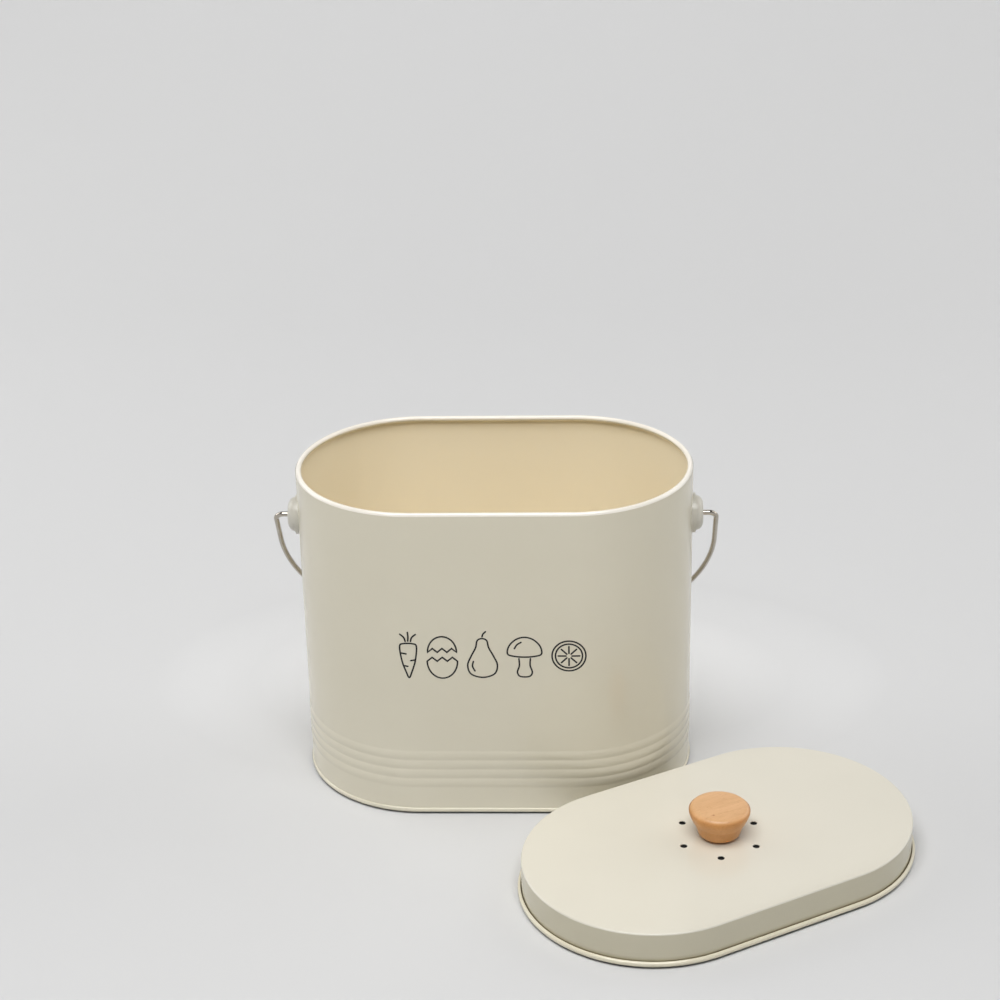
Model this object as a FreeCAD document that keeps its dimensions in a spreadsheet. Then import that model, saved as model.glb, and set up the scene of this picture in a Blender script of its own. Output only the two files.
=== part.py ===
import FreeCAD, Part
import math
import os
import Sketcher
from types import SimpleNamespace

# An oval sheet-steel compost bucket with a swinging wire bail, and its lid lying beside it.
# Millimetres, +Z up. The origin is the middle of the bucket's base, on the surface it stands on.
# +X runs along the bucket's long side and -Y faces its front.

DRIVING_SIZES = {
    # bucket
    "bucket_length": 240,
    "bucket_depth": 146,
    "bucket_height": 203,
    "sheet_gauge": 0.6,
    "rim_radius": 1.75,
    "seam_height": 4,
    "seam_lip": 0.9,
    "seam_round": 0.6,
    "bead_first": 22,
    "bead_pitch": 6.4,
    "bead_chord": 5.2,
    "bead_rise": 0.6,
    "bead_count": 4,
    # ears, below the edge of the seated lid
    "ear_flange_radius": 11.2,
    "ear_flange": 1.1,
    "ear_radius": 10.7,
    "ear_rise": 6.3,
    "ear_round": 4.8,
    "ear_shell": 1.3,
    "ear_gap": 1.6,
    # bail
    "wire_radius": 1.6,
    "wire_clearance": 0.05,
    "bail_out": 14.5,
    "bail_leg": 19,
    "bend_radius": 5,
    "head_radius": 3.4,
    "head_thickness": 1.5,
    "head_play": 0.4,
    "bail_rest_gap": 0.4,
    # lid
    "lid_height": 22,
    "lid_clearance": 0.6,
    "lid_round": 1,
    "lid_curl_radius": 1.4,
    "lid_curl_height": 4.2,
    "vent_ring_radius": 24.1,
    "vent_radius": 2,
    "vent_count": 6,
    "lid_place_x": 132.2,
    "lid_place_y": -128.3,
    "lid_turn": 29.8,
    # knob and what holds it
    "knob_height": 19.5,
    "knob_top_radius": 17.8,
    "knob_foot_radius": 11.5,
    "knob_foot_round": 1.9,
    "knob_waist_radius": 15.2,
    "knob_waist_height": 11,
    "knob_edge": 3.2,
    "knob_round": 2.4,
    "insert_radius": 3.2,
    "insert_length": 10,
    "insert_sink": 0.5,
    "screw_radius": 2,
    "screw_clearance": 0.2,
    "screw_engaged": 8,
    "screw_head_radius": 4,
    "screw_head_height": 2.6,
    "screw_recess_width": 1,
    "screw_recess_depth": 1.4,
    "washer_radius": 6,
    "washer_thickness": 1,
    # filter
    "holder_radius": 52,
    "holder_depth": 11,
    "holder_wall": 1.2,
    "holder_round": 2.5,
    "boss_radius": 7,
    "slot_start": 15,
    "slot_end": 44,
    "slot_width": 4,
    "slot_count": 12,
    "filter_clearance": 0.4,
    "filter_round": 1.5,
}


class Size:
    """A number together with the spreadsheet expression that it comes from."""

    def __init__(self, value, text):
        self.value = value
        self.text = text

    def joined(self, sign, other, result):
        return Size(result, f"({self.text} {sign} {as_size(other).text})")

    def __add__(self, other):
        return self.joined("+", other, self.value + as_size(other).value)

    def __sub__(self, other):
        return self.joined("-", other, self.value - as_size(other).value)

    def __mul__(self, other):
        return self.joined("*", other, self.value * as_size(other).value)

    def __truediv__(self, other):
        return self.joined("/", other, self.value / as_size(other).value)


def as_size(number):
    return number if isinstance(number, Size) else Size(number, str(number))


ORIGIN = as_size(0)


def fill_sheet(doc, sizes):
    """Puts each driving size in a cell of its own, and returns them by name."""
    sheet = doc.addObject("Spreadsheet::Sheet", "sizes")
    for row, (name, value) in enumerate(sizes.items(), start=1):
        sheet.set(f"A{row}", name)
        sheet.set(f"B{row}", str(value))
        sheet.setAlias(f"B{row}", name)
    doc.recompute()
    return SimpleNamespace(**{name: Size(value, f"sizes.{name}") for name, value in sizes.items()})


def new_body(label, placement):
    body = doc.addObject("PartDesign::Body", label)
    body.Label = label
    body.Placement = placement
    return body


def origin_feature(body, role):
    return next(feature for feature in body.Origin.OriginFeatures if feature.Role == role)


def new_sketch(body, name, plane, offset=None):
    """A sketch on one of the body's own planes, moved along the plane's normal."""
    sketch = body.newObject("Sketcher::SketchObject", f"{body.Name}_{name}")
    sketch.AttachmentSupport = [(origin_feature(body, plane), "")]
    sketch.MapMode = "FlatFace"
    if offset is not None:
        sketch.AttachmentOffset = FreeCAD.Placement(FreeCAD.Vector(0, 0, offset.value), FreeCAD.Rotation())
        sketch.setExpression(".AttachmentOffset.Base.z", offset.text)
    return sketch


def hold(sketch, size, kind, *geometry):
    """A dimension of the sketch bound to the spreadsheet."""
    index = sketch.addConstraint(Sketcher.Constraint(kind, *geometry, size.value))
    sketch.setExpression(f"Constraints[{index}]", size.text)


def hold_point(sketch, geometry, end, across, up):
    """Holds a point at its distances from the sketch's origin, or on the axis where one is zero."""
    if across is ORIGIN:
        sketch.addConstraint(Sketcher.Constraint("PointOnObject", geometry, end, -2))
    else:
        hold(sketch, across, "DistanceX", -1, 1, geometry, end)
    if up is ORIGIN:
        sketch.addConstraint(Sketcher.Constraint("PointOnObject", geometry, end, -1))
    else:
        hold(sketch, up, "DistanceY", -1, 1, geometry, end)


def point(across, up):
    return FreeCAD.Vector(across.value, up.value, 0)


def arc(centre, radius, start, end):
    """An arc anticlockwise between two angles in degrees."""
    circle = Part.Circle(centre, FreeCAD.Vector(0, 0, 1), radius)
    return Part.ArcOfCircle(circle, math.radians(start), math.radians(end))


def draw_circle(sketch, across, up, radius):
    index = sketch.addGeometry(Part.Circle(point(across, up), FreeCAD.Vector(0, 0, 1), radius.value))
    hold(sketch, radius, "Radius", index)
    hold_point(sketch, index, 3, across, up)


def draw_stadium(sketch, straight, radius):
    """Two straight sides and two round ends, about the sketch's origin."""
    half = straight.value / 2
    reach = radius.value
    first = sketch.addGeometry(Part.LineSegment(FreeCAD.Vector(half, reach, 0), FreeCAD.Vector(-half, reach, 0)))
    sketch.addGeometry(arc(FreeCAD.Vector(-half, 0, 0), reach, 90, 270))
    sketch.addGeometry(Part.LineSegment(FreeCAD.Vector(-half, -reach, 0), FreeCAD.Vector(half, -reach, 0)))
    sketch.addGeometry(arc(FreeCAD.Vector(half, 0, 0), reach, -90, 90))
    for step in range(4):
        sketch.addConstraint(Sketcher.Constraint("Tangent", first + step, 2, first + (step + 1) % 4, 1))
    sketch.addConstraint(Sketcher.Constraint("Symmetric", first + 1, 3, first + 3, 3, -1, 1))
    sketch.addConstraint(Sketcher.Constraint("PointOnObject", first + 1, 3, -1))
    sketch.addConstraint(Sketcher.Constraint("Equal", first + 1, first + 3))
    hold(sketch, radius, "Radius", first + 1)
    hold(sketch, straight, "DistanceX", first + 1, 3, first + 3, 3)


def draw_polygon(sketch, corners):
    """A closed outline of straight lines, each corner held by its distances from the origin."""
    first = sketch.GeometryCount
    for index, corner in enumerate(corners):
        after = corners[(index + 1) % len(corners)]
        sketch.addGeometry(Part.LineSegment(point(*corner), point(*after)))
    for index, corner in enumerate(corners):
        before = first + (index - 1) % len(corners)
        sketch.addConstraint(Sketcher.Constraint("Coincident", before, 2, first + index, 1))
        hold_point(sketch, first + index, 1, *corner)


def draw_segment(sketch, centre_across, centre_up, radius, chord_across):
    """The part of a disc beyond an upright chord."""
    reach = chord_across.value - centre_across.value
    half_angle = math.degrees(math.acos(reach / radius.value))
    half_chord = math.sqrt(radius.value ** 2 - reach ** 2)
    bow = sketch.addGeometry(arc(point(centre_across, centre_up), radius.value, -half_angle, half_angle))
    top = FreeCAD.Vector(chord_across.value, centre_up.value + half_chord, 0)
    bottom = FreeCAD.Vector(chord_across.value, centre_up.value - half_chord, 0)
    chord = sketch.addGeometry(Part.LineSegment(top, bottom))
    sketch.addConstraint(Sketcher.Constraint("Coincident", bow, 2, chord, 1))
    sketch.addConstraint(Sketcher.Constraint("Coincident", chord, 2, bow, 1))
    sketch.addConstraint(Sketcher.Constraint("Vertical", chord))
    hold(sketch, radius, "Radius", bow)
    hold_point(sketch, bow, 3, centre_across, centre_up)
    hold(sketch, chord_across, "DistanceX", -1, 1, chord, 1)


def draw_slot(sketch, start, end, middle_up, radius, upright=False):
    """A round-ended slot between two arc centres, along the sketch's first axis or upright beside it."""
    if upright:
        centres = [FreeCAD.Vector(middle_up.value, start.value, 0), FreeCAD.Vector(middle_up.value, end.value, 0)]
        turn = 90
        side = FreeCAD.Vector(radius.value, 0, 0)
    else:
        centres = [FreeCAD.Vector(start.value, middle_up.value, 0), FreeCAD.Vector(end.value, middle_up.value, 0)]
        turn = 0
        side = FreeCAD.Vector(0, -radius.value, 0)
    first = sketch.addGeometry(arc(centres[0], radius.value, turn + 90, turn + 270))
    sketch.addGeometry(Part.LineSegment(centres[0] + side, centres[1] + side))
    sketch.addGeometry(arc(centres[1], radius.value, turn - 90, turn + 90))
    sketch.addGeometry(Part.LineSegment(centres[1] - side, centres[0] - side))
    for step in range(4):
        sketch.addConstraint(Sketcher.Constraint("Tangent", first + step, 2, first + (step + 1) % 4, 1))
    sketch.addConstraint(Sketcher.Constraint("Equal", first, first + 2))
    hold(sketch, radius, "Radius", first)
    for index, place in ((first, start), (first + 2, end)):
        if upright:
            hold_point(sketch, index, 3, middle_up, place)
        else:
            hold_point(sketch, index, 3, place, middle_up)


def add_feature(body, kind, name, profile, **sizes):
    """A feature on a sketch, with the sizes named bound to the spreadsheet."""
    feature = body.newObject(f"PartDesign::{kind}", f"{body.Name}_{name}")
    feature.Profile = profile
    for key, size in sizes.items():
        feature.setExpression(key, size.text)
    return feature


def pad(body, name, profile, length):
    return add_feature(body, "Pad", name, profile, Length=length)


def pocket(body, name, profile, length, upward=False):
    """A cut below the sketch's plane, or above it, that has to take something away."""
    feature = add_feature(body, "Pocket", name, profile, Length=length)
    feature.Reversed = upward
    must_cut(feature)
    return feature


def must_cut(feature):
    doc.recompute()
    if feature.Shape.Volume > feature.BaseFeature.Shape.Volume - 0.01:
        raise RuntimeError(f"{feature.Name} cuts nothing")


def revolve(body, name, profile, axis):
    feature = add_feature(body, "Revolution", name, profile)
    feature.ReferenceAxis = (profile, [axis])
    feature.Angle = 360
    return feature


def sweep(body, name, profile, spine, cuts=False):
    feature = add_feature(body, "SubtractivePipe" if cuts else "AdditivePipe", name, profile)
    feature.Spine = (spine, [])
    if cuts:
        must_cut(feature)
    return feature


def round_edges(body, name, radius, wanted):
    """Rounds the edges of the body so far that the test picks out."""
    doc.recompute()
    base = body.Tip
    names = [f"Edge{index}" for index, edge in enumerate(base.Shape.Edges, start=1) if wanted(edge)]
    if not names:
        raise RuntimeError(f"{body.Name}: no edge to round for {name}")
    feature = body.newObject("PartDesign::Fillet", f"{body.Name}_{name}")
    feature.Base = (base, names)
    feature.setExpression("Radius", radius.text)
    doc.recompute()
    return feature


def repeat_round(body, name, originals, count):
    feature = body.newObject("PartDesign::PolarPattern", f"{body.Name}_{name}")
    feature.Originals = originals
    feature.Axis = (origin_feature(body, "Z_Axis"), [""])
    feature.Angle = 360
    feature.setExpression("Occurrences", count.text)
    body.Tip = feature
    return feature


def level_edges(height):
    """Picks the edges that lie wholly at one height of the body."""
    def wanted(edge):
        box = edge.BoundBox
        return abs(box.ZMin - height.value) < 1e-4 and abs(box.ZMax - height.value) < 1e-4
    return wanted


def level_circle(height, radius):
    """Picks the round edge about the body's upright axis at one height and radius."""
    def wanted(edge):
        return level_edges(height)(edge) and abs(edge.BoundBox.XMax - radius.value) < 1e-4
    return wanted


def make_wall():
    """The oval wall: one section of sheet with its top edge curled in, and pressed beads near the foot."""
    body = new_body("body_wall", FreeCAD.Placement())
    outside = size.bucket_depth / 2
    inside = outside - size.sheet_gauge
    rim_height = size.bucket_height - size.rim_radius
    rim_middle = outside - size.rim_radius
    line = new_sketch(body, "line", "XY_Plane")
    draw_stadium(line, straight, outside)
    section = new_sketch(body, "section", "YZ_Plane")
    curl_end = math.degrees(math.acos((size.rim_radius.value - size.sheet_gauge.value) / size.rim_radius.value))
    curl_drop = size.rim_radius.value * math.sin(math.radians(curl_end))
    curl_foot = FreeCAD.Vector(inside.value, rim_height.value - curl_drop, 0)
    outer = section.addGeometry(Part.LineSegment(point(outside, size.sheet_gauge), point(outside, rim_height)))
    curl = section.addGeometry(arc(point(rim_middle, rim_height), size.rim_radius.value, 0, 360 - curl_end))
    inner = section.addGeometry(Part.LineSegment(curl_foot, point(inside, size.sheet_gauge)))
    foot = section.addGeometry(Part.LineSegment(point(inside, size.sheet_gauge), point(outside, size.sheet_gauge)))
    section.addConstraint(Sketcher.Constraint("Tangent", outer, 2, curl, 1))
    section.addConstraint(Sketcher.Constraint("Coincident", curl, 2, inner, 1))
    section.addConstraint(Sketcher.Constraint("Coincident", inner, 2, foot, 1))
    section.addConstraint(Sketcher.Constraint("Coincident", foot, 2, outer, 1))
    section.addConstraint(Sketcher.Constraint("Vertical", outer))
    section.addConstraint(Sketcher.Constraint("Vertical", inner))
    section.addConstraint(Sketcher.Constraint("Horizontal", foot))
    hold_point(section, outer, 1, outside, size.sheet_gauge)
    hold(section, size.sheet_gauge, "DistanceX", foot, 1, foot, 2)
    hold(section, size.rim_radius, "Radius", curl)
    hold(section, rim_height, "DistanceY", -1, 1, curl, 3)
    sweep(body, "sheet", section, line)

    half_chord = size.bead_chord / 2
    bead_radius = (half_chord * half_chord + size.bead_rise * size.bead_rise) / (size.bead_rise * 2)
    bead_middle = outside + size.bead_rise - bead_radius
    bulge = new_sketch(body, "bead_outside", "YZ_Plane")
    draw_segment(bulge, bead_middle, size.bead_first, bead_radius, outside - size.sheet_gauge / 2)
    bead = sweep(body, "bead", bulge, line)
    hollow = new_sketch(body, "bead_inside", "YZ_Plane")
    draw_segment(hollow, bead_middle, size.bead_first, bead_radius - size.sheet_gauge, inside - size.sheet_gauge)
    groove = sweep(body, "bead_hollow", hollow, line, cuts=True)
    beads = body.newObject("PartDesign::LinearPattern", "body_wall_beads")
    beads.Originals = [bead, groove]
    beads.Direction = (origin_feature(body, "Z_Axis"), [""])
    beads.setExpression("Length", (size.bead_pitch * (size.bead_count - 1)).text)
    beads.setExpression("Occurrences", size.bead_count.text)
    body.Tip = beads
    return body


def make_base():
    """The flat base, with its edge turned up round the foot of the wall."""
    body = new_body("base_plate", FreeCAD.Placement())
    wall = size.bucket_depth / 2
    plan = new_sketch(body, "plan", "XY_Plane")
    draw_stadium(plan, straight, wall + size.seam_lip)
    pad(body, "slab", plan, size.seam_height)
    well = new_sketch(body, "well", "XY_Plane", size.seam_height)
    draw_stadium(well, straight, wall)
    pocket(body, "tray", well, size.seam_height - size.sheet_gauge)
    outermost = straight.value / 2 + wall.value + size.seam_lip.value

    def outer_edge(edge):
        box = edge.BoundBox
        level = abs(box.ZMax - box.ZMin) < 1e-4
        on_end = max(box.XMax, -box.XMin) > outermost - 1e-3
        on_side = max(box.YMax, -box.YMin) > wall.value + size.seam_lip.value - 1e-3
        return level and (on_end or on_side)

    round_edges(body, "seam_round", size.seam_round, outer_edge)
    return body


def make_ear(label, turn):
    """A hollow button on the round end of the wall, with a hole in its face for the bail."""
    body = new_body(label, FreeCAD.Placement(FreeCAD.Vector(0, 0, pivot_height.value),
                                             FreeCAD.Rotation(FreeCAD.Vector(0, 0, 1), turn)))
    body.setExpression(".Placement.Base.z", pivot_height.text)
    wall = size.bucket_length / 2
    root = wall - size.ear_flange_radius / 2
    flange = wall + size.ear_flange
    face = wall + size.ear_rise
    back = face - size.ear_shell
    hollow = size.ear_radius - size.ear_shell
    hole = size.wire_radius + size.wire_clearance
    section = new_sketch(body, "section", "XZ_Plane")
    draw_polygon(section, [
        (root, hollow), (back, hollow), (back, hole), (face, hole),
        (face, size.ear_radius), (flange, size.ear_radius),
        (flange, size.ear_flange_radius), (root, size.ear_flange_radius),
    ])
    revolve(body, "button", section, "H_Axis")

    def shoulder(along, radius):
        def wanted(edge):
            box = edge.BoundBox
            upright = abs(box.XMin - along.value) < 1e-4 and abs(box.XMax - along.value) < 1e-4
            return upright and abs(box.ZMax - radius.value) < 1e-4
        return wanted

    round_edges(body, "shoulder", size.ear_round, shoulder(face, size.ear_radius))
    round_edges(body, "inner_shoulder", size.ear_round - size.ear_shell, shoulder(back, hollow))
    wall_plan = new_sketch(body, "wall_plan", "XY_Plane")
    draw_stadium(wall_plan, straight, size.bucket_depth / 2)
    trim = pocket(body, "seat", wall_plan, size.ear_flange_radius * 4)
    trim.SideType = "Symmetric"
    must_cut(trim)
    return body


def bail_rest_angle():
    """Degrees from hanging straight down to where the bow comes to rest against the back of the wall."""
    wall_radius = size.bucket_depth.value / 2
    reach = wall_radius + size.wire_radius.value + size.bail_rest_gap.value
    bow = bail_half_span.value
    steepest = 0
    for degree in range(90):
        end_angle = math.radians(degree)
        across = straight.value / 2 + reach * math.sin(end_angle)
        behind = reach * math.cos(end_angle)
        if across < bow:
            along = size.bail_leg.value + math.sqrt(bow ** 2 - across ** 2)
            steepest = max(steepest, behind / along)
    return math.degrees(math.asin(steepest))


def make_bail():
    """Half of the wire from the middle of the bow to its headed end in the ear, mirrored."""
    turn = FreeCAD.Rotation(FreeCAD.Vector(1, 0, 0), 180 + bail_rest_angle())
    body = new_body("bail_wire", FreeCAD.Placement(FreeCAD.Vector(0, 0, pivot_height.value), turn))
    body.setExpression(".Placement.Base.z", pivot_height.text)
    span = bail_half_span
    bow_top = size.bail_leg + span
    bend_start = span - size.bend_radius
    ear_back = size.bucket_length / 2 + size.ear_rise - size.ear_shell
    head_outer = ear_back - size.head_play
    head_inner = head_outer - size.head_thickness
    route = new_sketch(body, "route", "XZ_Plane")
    bow = route.addGeometry(arc(point(ORIGIN, size.bail_leg), span.value, 0, 90))
    leg = route.addGeometry(Part.LineSegment(point(span, size.bail_leg), point(span, size.bend_radius)))
    bend = route.addGeometry(arc(point(bend_start, size.bend_radius), size.bend_radius.value, -90, 0))
    pin = route.addGeometry(Part.LineSegment(point(bend_start, ORIGIN), point(head_inner, ORIGIN)))
    route.addConstraint(Sketcher.Constraint("Tangent", bow, 1, leg, 1))
    route.addConstraint(Sketcher.Constraint("Tangent", leg, 2, bend, 2))
    route.addConstraint(Sketcher.Constraint("Tangent", bend, 1, pin, 1))
    route.addConstraint(Sketcher.Constraint("PointOnObject", bow, 2, -2))
    hold_point(route, bow, 3, ORIGIN, size.bail_leg)
    hold(route, span, "Radius", bow)
    hold(route, size.bend_radius, "Radius", bend)
    route.addConstraint(Sketcher.Constraint("Horizontal", pin))
    hold_point(route, pin, 2, head_inner, ORIGIN)
    section = new_sketch(body, "section", "YZ_Plane")
    draw_circle(section, ORIGIN, bow_top, size.wire_radius)
    wire = sweep(body, "wire", section, route)
    head_plan = new_sketch(body, "head_plan", "YZ_Plane", head_inner)
    draw_circle(head_plan, ORIGIN, ORIGIN, size.head_radius)
    head = pad(body, "head", head_plan, size.head_thickness)
    whole = body.newObject("PartDesign::Mirrored", "bail_wire_whole")
    whole.Originals = [wire, head]
    whole.MirrorPlane = (origin_feature(body, "YZ_Plane"), [""])
    body.Tip = whole
    return body


def new_lid_body(label):
    """A body placed where the lid lies and turned with it."""
    turn = FreeCAD.Rotation(FreeCAD.Vector(0, 0, 1), size.lid_turn.value)
    place = FreeCAD.Vector(size.lid_place_x.value, size.lid_place_y.value, 0)
    body = new_body(label, FreeCAD.Placement(place, turn))
    body.setExpression(".Placement.Base.x", size.lid_place_x.text)
    body.setExpression(".Placement.Base.y", size.lid_place_y.text)
    body.setExpression(".Placement.Rotation.Angle", size.lid_turn.text)
    return body


def make_lid():
    """The pressed lid: a rounded cap over the bucket's rim, its lower edge rolled outwards."""
    body = new_lid_body("lid_shell")
    skirt_inside = size.bucket_depth / 2 + size.lid_clearance
    skirt_outside = skirt_inside + size.sheet_gauge
    skirt_foot = size.lid_curl_radius
    outline = new_sketch(body, "outline", "XY_Plane", skirt_foot)
    draw_stadium(outline, straight, skirt_outside)
    pad(body, "cap", outline, size.lid_height - skirt_foot)
    cavity = new_sketch(body, "cavity", "XY_Plane", skirt_foot)
    draw_stadium(cavity, straight, skirt_inside)
    pocket(body, "inside", cavity, lid_underside - skirt_foot, upward=True)
    round_edges(body, "top_round", size.lid_round, level_edges(size.lid_height))
    round_edges(body, "inner_round", size.lid_round - size.sheet_gauge, level_edges(lid_underside))
    edge_line = new_sketch(body, "edge_line", "XY_Plane")
    draw_stadium(edge_line, straight, skirt_inside)
    roll = new_sketch(body, "roll", "YZ_Plane")
    draw_slot(roll, size.lid_curl_radius, size.lid_curl_height - size.lid_curl_radius,
              skirt_inside + size.lid_curl_radius, size.lid_curl_radius, upright=True)
    sweep(body, "rolled_edge", roll, edge_line)
    screw_hole = new_sketch(body, "screw_hole", "XY_Plane", size.lid_height)
    draw_circle(screw_hole, ORIGIN, ORIGIN, screw_hole_radius)
    pocket(body, "screw_way", screw_hole, size.sheet_gauge * 2)
    vent_plan = new_sketch(body, "vent_plan", "XY_Plane", size.lid_height)
    draw_circle(vent_plan, size.vent_ring_radius, ORIGIN, size.vent_radius)
    vent = pocket(body, "vent", vent_plan, size.sheet_gauge * 2)
    repeat_round(body, "vents", [vent], size.vent_count)
    return body


def make_knob():
    """The turned wooden knob: a flared bowl below a wider rounded top, with a blind bore."""
    body = new_lid_body("knob")
    foot = size.lid_height
    top = foot + size.knob_height
    edge = top - size.knob_edge
    waist = foot + size.knob_waist_height
    bore_top = foot + size.insert_sink * 2 + size.insert_length
    section = new_sketch(body, "section", "XZ_Plane")
    draw_polygon(section, [
        (size.insert_radius, foot), (size.knob_foot_radius, foot), (size.knob_waist_radius, waist),
        (size.knob_top_radius, edge), (size.knob_top_radius, top),
        (ORIGIN, top), (ORIGIN, bore_top), (size.insert_radius, bore_top),
    ])
    revolve(body, "turned", section, "V_Axis")
    round_edges(body, "top_edge", size.knob_round, level_circle(top, size.knob_top_radius))
    round_edges(body, "foot_edge", size.knob_foot_round, level_circle(foot, size.knob_foot_radius))
    return body


def make_tube(label, inner, outer, bottom, length):
    """A plain ring about the lid's upright axis."""
    body = new_lid_body(label)
    plan = new_sketch(body, "plan", "XY_Plane", bottom)
    draw_circle(plan, ORIGIN, ORIGIN, outer)
    draw_circle(plan, ORIGIN, ORIGIN, inner)
    pad(body, "ring", plan, length)
    return body


def make_screw():
    """The screw up through the holder and the lid into the knob's insert."""
    body = new_lid_body("knob_screw")
    seat = holder_bottom - size.washer_thickness
    tip = size.lid_height + size.insert_sink + size.screw_engaged
    head_bottom = seat - size.screw_head_height
    section = new_sketch(body, "section", "XZ_Plane")
    draw_polygon(section, [
        (ORIGIN, head_bottom), (size.screw_head_radius, head_bottom), (size.screw_head_radius, seat),
        (size.screw_radius, seat), (size.screw_radius, tip), (ORIGIN, tip),
    ])
    revolve(body, "turned", section, "V_Axis")
    round_edges(body, "head_round", size.screw_head_height / 2, level_circle(head_bottom, size.screw_head_radius))
    recess_plan = new_sketch(body, "recess_plan", "XY_Plane", head_bottom)
    half_width = size.screw_recess_width / 2
    draw_slot(recess_plan, half_width, size.screw_radius, ORIGIN, half_width)
    recess = pocket(body, "recess", recess_plan, size.screw_recess_depth, upward=True)
    repeat_round(body, "cross", [recess], as_size(4))
    return body


def make_holder():
    """The slotted dish that holds the filter up against the underside of the lid."""
    body = new_lid_body("filter_holder")
    floor = holder_bottom + size.holder_wall
    inner = size.holder_radius - size.holder_wall
    section = new_sketch(body, "section", "XZ_Plane")
    draw_polygon(section, [
        (screw_hole_radius, holder_bottom), (size.holder_radius, holder_bottom), (size.holder_radius, lid_underside),
        (inner, lid_underside), (inner, floor), (size.boss_radius, floor),
        (size.boss_radius, lid_underside), (screw_hole_radius, lid_underside),
    ])
    revolve(body, "dish", section, "V_Axis")
    round_edges(body, "outer_round", size.holder_round, level_circle(holder_bottom, size.holder_radius))
    slot_plan = new_sketch(body, "slot_plan", "XY_Plane", holder_bottom)
    half_width = size.slot_width / 2
    draw_slot(slot_plan, size.slot_start + half_width, size.slot_end - half_width, ORIGIN, half_width)
    slot = pocket(body, "slot", slot_plan, size.holder_wall * 2, upward=True)
    repeat_round(body, "slots", [slot], size.slot_count)
    return body


def make_filter():
    """The charcoal pad: a thick ring lying in the dish round its boss."""
    body = new_lid_body("charcoal_filter")
    bottom = holder_bottom + size.holder_wall
    top = lid_underside - size.filter_clearance
    outer = size.holder_radius - size.holder_wall - size.filter_clearance
    plan = new_sketch(body, "plan", "XY_Plane", bottom)
    draw_circle(plan, ORIGIN, ORIGIN, outer)
    draw_circle(plan, ORIGIN, ORIGIN, size.boss_radius + size.filter_clearance)
    pad(body, "ring", plan, top - bottom)
    round_edges(body, "top_round", size.filter_round, level_circle(top, outer))
    return body


def check(bodies):
    """Stops before anything is written if an object failed or a shape isn't one sound solid."""
    for thing in doc.Objects:
        if {"Invalid", "Error"} & set(thing.State):
            raise RuntimeError(f"{thing.Name} failed: {thing.State}")
    for body in bodies:
        shape = body.Shape
        if shape.isNull() or not shape.isValid() or len(shape.Solids) != 1:
            raise RuntimeError(f"{body.Label} isn't one sound solid")


doc = FreeCAD.newDocument("compost_bucket")
size = fill_sheet(doc, DRIVING_SIZES)

# what several pieces share
straight = size.bucket_length - size.bucket_depth
lid_underside = size.lid_height - size.sheet_gauge
pivot_height = size.bucket_height - lid_underside - size.ear_gap - size.ear_flange_radius
bail_half_span = size.bucket_length / 2 + size.bail_out
holder_bottom = lid_underside - size.holder_depth
screw_hole_radius = size.screw_radius + size.screw_clearance

pieces = [
    make_wall(),
    make_base(),
    make_ear("ear_right", 0),
    make_ear("ear_left", 180),
    make_bail(),
    make_lid(),
    make_knob(),
    make_tube("knob_insert", size.screw_radius, size.insert_radius,
              size.lid_height + size.insert_sink, size.insert_length),
    make_screw(),
    make_tube("knob_washer", screw_hole_radius, size.washer_radius,
              holder_bottom - size.washer_thickness, size.washer_thickness),
    make_holder(),
    make_filter(),
]
doc.recompute()
check(pieces)

os.makedirs("parts", exist_ok=True)
for piece in pieces:
    piece.Shape.exportStep(f"parts/{piece.Label}.step")
print(f"bail at rest: {bail_rest_angle():.2f} degrees from straight down, pivot height {pivot_height.value:.2f}")
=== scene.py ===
import math

import bmesh
import bpy
from mathutils import Matrix, Vector, geometry, noise


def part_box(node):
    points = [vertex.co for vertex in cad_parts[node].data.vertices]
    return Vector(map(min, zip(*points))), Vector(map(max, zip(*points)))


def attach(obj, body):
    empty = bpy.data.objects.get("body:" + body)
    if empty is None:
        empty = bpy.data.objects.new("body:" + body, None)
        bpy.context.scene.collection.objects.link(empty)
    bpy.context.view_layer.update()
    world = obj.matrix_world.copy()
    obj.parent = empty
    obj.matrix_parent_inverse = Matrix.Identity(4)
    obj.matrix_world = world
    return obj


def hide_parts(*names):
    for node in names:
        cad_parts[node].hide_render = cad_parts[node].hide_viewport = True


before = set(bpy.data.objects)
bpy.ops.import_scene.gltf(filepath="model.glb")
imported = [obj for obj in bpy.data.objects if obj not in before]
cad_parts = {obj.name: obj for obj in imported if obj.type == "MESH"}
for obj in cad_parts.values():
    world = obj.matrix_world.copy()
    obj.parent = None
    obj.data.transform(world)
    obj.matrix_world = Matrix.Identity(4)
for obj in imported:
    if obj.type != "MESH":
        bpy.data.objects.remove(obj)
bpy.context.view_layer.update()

# The looks of an oval compost bucket with a wire bail, and of its vented lid lying beside it.
# Metres, +Z up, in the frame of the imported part.

MM = 0.001
MERGE = 1e-7
SHARP_EDGE = math.radians(38)

# bucket
END_RADIUS = 73 * MM
HALF_STRAIGHT = 47 * MM
HEIGHT = 203 * MM
SHEET = 0.6 * MM
RIM_RADIUS = 1.75 * MM
RIM_CURL = 290
RIM_DROP = 2.7 * MM
BEAD_FIRST = 22 * MM
BEAD_PITCH = 6.4 * MM
BEAD_HALF = 3.1 * MM
BEAD_RISE = 0.3 * MM
BEAD_SOFT = 0.6 * MM
BEAD_COUNT = 4
SEAM_HEIGHT = 4 * MM
SEAM_LIP = 0.85 * MM
SEAM_GAP = 1.2 * MM
SEAM_SET = 1.6 * MM
BASE_SHELF = 8 * MM

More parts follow.
